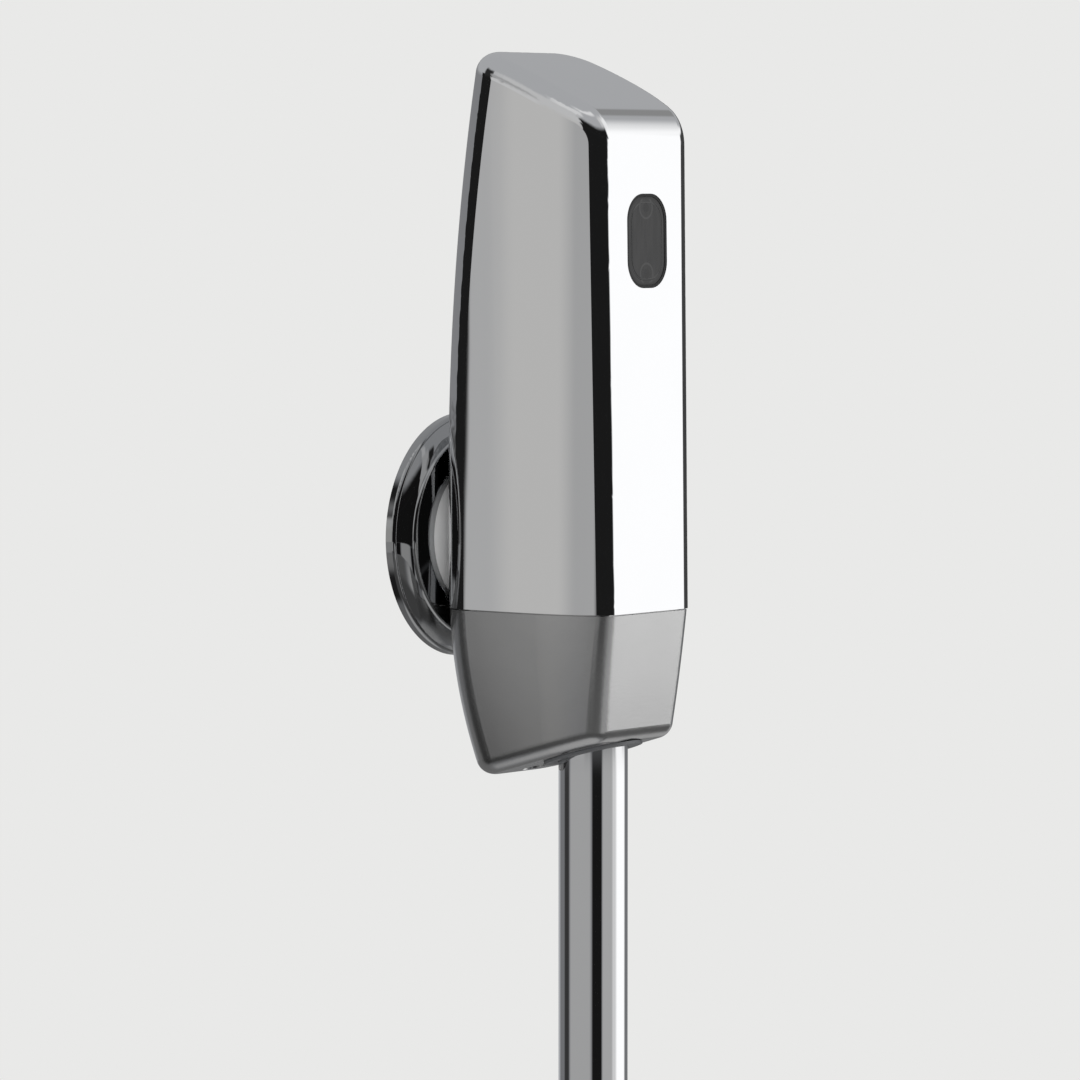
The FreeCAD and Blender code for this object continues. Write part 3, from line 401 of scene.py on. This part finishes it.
inside = haze.between(0.3, 0.7).blend((0.016, 0.016, 0.017), (0.026, 0.026, 0.027))
inside = groove_line.blend(inside, (0.050, 0.050, 0.051))
for eye_height in eye_heights:
    rise = upright - eye_height
    away = start.maths("SQRT", across * across + rise * rise)
    ring_inner, ring_outer = ring_radius - ring_half, ring_radius + ring_half
    eye_ring = (away.between(ring_inner, ring_inner + soft_edge)
                * away.between(ring_outer, ring_outer - soft_edge))
    inside = eye_ring.blend(inside, (0.045, 0.045, 0.046))
    inside = away.between(eye_radius, eye_radius - soft_edge).blend(inside, (0.012, 0.012, 0.013))
feed(shader,
     Base_Color=border.blend(inside, (0.010, 0.010, 0.011)),
     Normal=relief(start, groove_line, 0.00005))
dress(lens_plastic, "sensor_window")
dress(moulded("gasket_rubber", (0.012, 0.012, 0.013), 0.42), "window_gasket")

# The lower cap: a casting like the hood in satin chrome, blasted before plating, so
# it shows only soft shapes of the light. A screw from below holds it.
cap_satin, shader, start = finish("cap_satin", Metallic=1.0)
blast = grain(start, 0.0005, 2.0)
feed(shader,
     Base_Color=grain(start, 0.02).blend((0.60, 0.60, 0.60), (0.66, 0.66, 0.66)),
     Roughness=blast * 0.08 + 0.20,
     Normal=relief(start, blast, 0.000012))
dress(cap_satin, "lower_cap")

# The flush pipe: drawn brass tube, polished along its length and chrome
# plated, with a bush that centres it in the cap. The bush is painted dark grey,
# a painted shadow for the shadow gap under the cap.
dress(polished_chrome("pipe_chrome", plate, 0.000008), "flush_pipe")
# painted shade: the bush is painted dark for the shadow gap under the cap
dress(moulded("bush_painted_shade", (0.15, 0.155, 0.165), 0.38), "pipe_collar")

# The rosette: pressed brass sheet, pushed against the wall and held on the neck
# by a rubber ring. Its chrome is painted darker, a painted shade for the hood's
# shade over it, and its pale, hardly metallic sunk middle is painted light.
dish_radius, dish_edge, front_from, front_edge = 0.0186, 0.00035, -0.0050, 0.0002
rosette_chrome, shader, start = finish("rosette_chrome", Metallic=1.0)
across, deep, upright = place_of(start)
out = start.maths("SQRT", across * across + upright * upright)
sunk = (out.between(dish_radius + dish_edge, dish_radius)
        * deep.between(front_from, front_from - front_edge))
brushing = turned(start, (0.0, 0.0), 0.0002, "Y")
# painted shade and light: the plate is painted dark (0.50) for the hood's shade, and the pale sunk
# middle is painted light
feed(shader,
     Base_Color=sunk.blend((0.50, 0.505, 0.51), (0.90, 0.90, 0.90)),
     Metallic=1 - sunk * 0.95,
     Roughness=sunk * (brushing * 0.12 + 0.42) + 0.02,
     Normal=relief(start, grain(start, 0.02, 1.0), 0.000008))
dress(rosette_chrome, "wall_rosette")

# The room: plain pale surroundings with the soft lights and dark flags that
# a polished piece is photographed between. Only shiny surfaces see them.
scene = bpy.context.scene
background = (0.815, 0.815, 0.807)
room = bpy.data.worlds.new("studio")
scene.world = room
room.use_nodes = True
room.node_tree.nodes.clear()
sky = Signal(room.node_tree)
toward_x, toward_y, toward_z = sky.node(
    "SeparateXYZ", {0: sky.node("TexCoord", output=0)}).outputs("X", "Y", "Z")
half_turn = 180.0
to_degrees = half_turn / math.pi
compass = sky.maths("ARCTAN2", toward_y, toward_x) * to_degrees
height = sky.maths("ARCSINE", toward_z) * to_degrees


def card(behind, level, left, right, side_blur, low, high, end_blur, tint=(1, 1, 1)):
    """A card in front of the rest: compass degrees from left to right, degrees of
    height from low to high, and how far each edge fades, all seen from the piece."""
    off = sky.maths("PINGPONG", compass - (left + right) / 2 + 4 * half_turn, half_turn)
    half = (right - left) / 2
    shape = off.between(half + side_blur, half - side_blur)
    shape = shape * height.between(low - end_blur, low + end_blur)
    shape = shape * height.between(high + end_blur, high - end_blur)
    return shape.blend(behind, tuple(level * t for t in tint))


cool, warm = (0.98, 1.0, 1.04), (1.01, 1.0, 0.98)
studio = height.between(4.0, 15.0).blend((0.21, 0.212, 0.22), (0.385, 0.39, 0.40))
cards = (
    # the ground, pale straight below and darker all round
    (0.45, -40, 30, 12, -52, -13, 5),
    (0.17, 24, 112, 8, -52, -13, 5),
    (0.27, 136, 162, 10, -30, -13, 4, warm),
    (0.13, 180, 260, 8, -46, -12, 3),
    (0.42, 266, 300, 8, -30, -13, 5),
    (0.08, 124, 300, 10, -56, -28, 4),
    (0.48, -180, 180, 1, -95, -62, 6),
    (0.02, 100, 136, 3, -46, -12, 3),
    (0.06, 188, 202, 3, -22, -6, 2),
    (0.11, 298, 352, 5, -50, -15.5, 1.5),
    # level with the hood
    (0.050, 331, 390, 2.5, -5.3, 14, 0.3),
    (0.065, 50, 106, 4, -5.3, -1.8, 0.5),
    (0.400, 134, 191, 1, -5.3, 14, 0.3),
    (0.475, 139, 183, 1.8, -5.3, 14, 0.3, warm),
    (0.365, 168, 190, 8, -5.3, 3, 0.3),
    (0.011, 103, 135.5, 0.15, -5.3, 16, 0.3),
    (0.020, 112, 142, 4, 10, 38, 5),
    (0.50, 146, 196, 4, 10, 42, 6),
    (0.62, 168, 206, 8, 40, 56, 4),
    (0.52, 137, 150, 3, 5, 12, 2),
    (0.33, 138, 152, 4, 17, 26, 4),
    (0.70, 202, 292, 10, 58, 68, 4),
    (0.56, 286, 318, 6, 26, 52, 6),
    (0.010, 186.5, 293, 1.0, -5.3, 15, 0.3),
    (0.010, 191.5, 303, 2.5, 10, 30, 6),
    (0.25, 352, 368, 3, 30, 40, 3),
    (0.84, 306, 338.5, 8, 17, 44, 6),
    (0.99, 306, 348, 6, 15, 22, 3),
    (1.06, 297, 328, 2.5, -15.5, 10, 1.5),
    (1.06, 306, 328, 1.5, 5, 24, 5),
    # lower, level with the pipe
    (0.17, -30, 106, 3, -13, -5.3, 0.3, cool),
    (0.42, 30, 74, 5, -13, -5.3, 0.3, cool),
    (0.035, 106, 129, 4, -13, -5.3, 0.3),
    (0.355, 134, 208, 5, -13, -5.3, 0.3),
    (0.008, 213, 246, 3, -13, -5.3, 0.3),
    (0.385, 248, 286, 4, -13, -5.3, 0.3),
    (0.62, 284, 345, 4, -13, -5.3, 0.3),
    (1.06, 300, 345, 6, -13, -5.3, 0.3),
)
for numbers in cards:
    studio = card(studio, *numbers)
is_camera, is_glossy = sky.node("LightPath").outputs("Is Camera Ray", "Is Glossy Ray")
seen = is_glossy.blend((0.75, 0.75, 0.74), studio)
seen = is_camera.blend(seen, background)
glow = sky.node("Background", {0: seen})
world_surface = room.node_tree.nodes.new("ShaderNodeOutputWorld").inputs["Surface"]
room.node_tree.links.new(glow.socket, world_surface)

# The floor: a pale disc under the foot of the pipe that fades out all round,
# and one large soft lamp above it, which shiny surfaces don't see.
foot, fade_start, fade_end, reach = -0.2387, 0.22, 0.58, 0.6
floor_y = valve_axis[1]
rings_out, points_round = 25, 96
spread = np.linspace(0.0, reach, rings_out)[:, None]
round_it = np.linspace(0, 2 * np.pi, points_round)[None]
floor_points = np.stack([spread * np.cos(round_it), floor_y + spread * np.sin(round_it),
                         np.full((rings_out, points_round), foot)], -1)
floor_mesh = bpy.data.meshes.new("floor")
here = np.arange(rings_out * points_round).reshape(rings_out, points_round)
floor_mesh.from_pydata(floor_points.reshape(-1, 3).tolist(), [], np.stack(
    [here[:-1, :-1], here[1:, :-1], here[1:, 1:], here[:-1, 1:]], -1).reshape(-1, 4).tolist())
floor = bpy.data.objects.new("floor", floor_mesh)
scene.collection.objects.link(floor)
pale, shader, start = finish("pale_floor", Roughness=0.9)
shader.inputs["Specular IOR Level"].default_value = 0.0
feed(shader, Base_Color=grain(start, 0.2).blend((0.854, 0.854, 0.853), (0.868, 0.868, 0.867)))
across, deep, _ = place_of(start)
deep = deep - floor_y
edge = start.maths("SQRT", across * across + deep * deep).between(fade_start, fade_end)
unseen = start.maths("MAXIMUM", edge, start.node("LightPath").outputs("Is Glossy Ray")[0])
clear = start.node("BsdfTransparent")
mixed = start.node("MixShader", {0: unseen, 1: Signal(start.tree, shader.outputs[0]), 2: clear})
start.tree.links.new(mixed.socket, start.tree.nodes["Material Output"].inputs["Surface"])
floor_mesh.materials.append(pale)

lamp_tilt, lamp_lean = math.radians(28), math.radians(-24)
lamp = bpy.data.objects.new("soft_lamp", bpy.data.lights.new("soft_lamp", "SUN"))
lamp.data.energy, lamp.data.angle = 0.8, 0.6
lamp.rotation_euler = (lamp_tilt, lamp_lean, 0.0)
lamp.visible_glossy = False
scene.collection.objects.link(lamp)

# The camera: where the photograph was taken from, a long lens 1.6 m away
lens_direction = math.radians(-53)
lens_height = math.radians(3.3511)
lens_place = (-1.263244, -0.977858, 0.091860)
sensor_width, focal_length = 36.0, 202.68
backward = np.array([math.sin(lens_direction) * math.cos(lens_height),
                     -math.cos(lens_direction) * math.cos(lens_height), math.sin(lens_height)])
sideways = np.array([math.cos(lens_direction), math.sin(lens_direction), 0.0])
upwards = np.cross(backward, sideways)
camera = bpy.data.objects.new("camera", bpy.data.cameras.new("camera"))
scene.collection.objects.link(camera)
pose = np.eye(4)
pose[:3, :3] = np.stack([sideways, upwards, backward], 1)
pose[:3, 3] = lens_place
camera.matrix_world = Matrix(pose.tolist())
camera.data.sensor_width = sensor_width
camera.data.lens = focal_length
camera.data.clip_start = 0.1
scene.camera = camera
scene.view_settings.view_transform = "Standard"
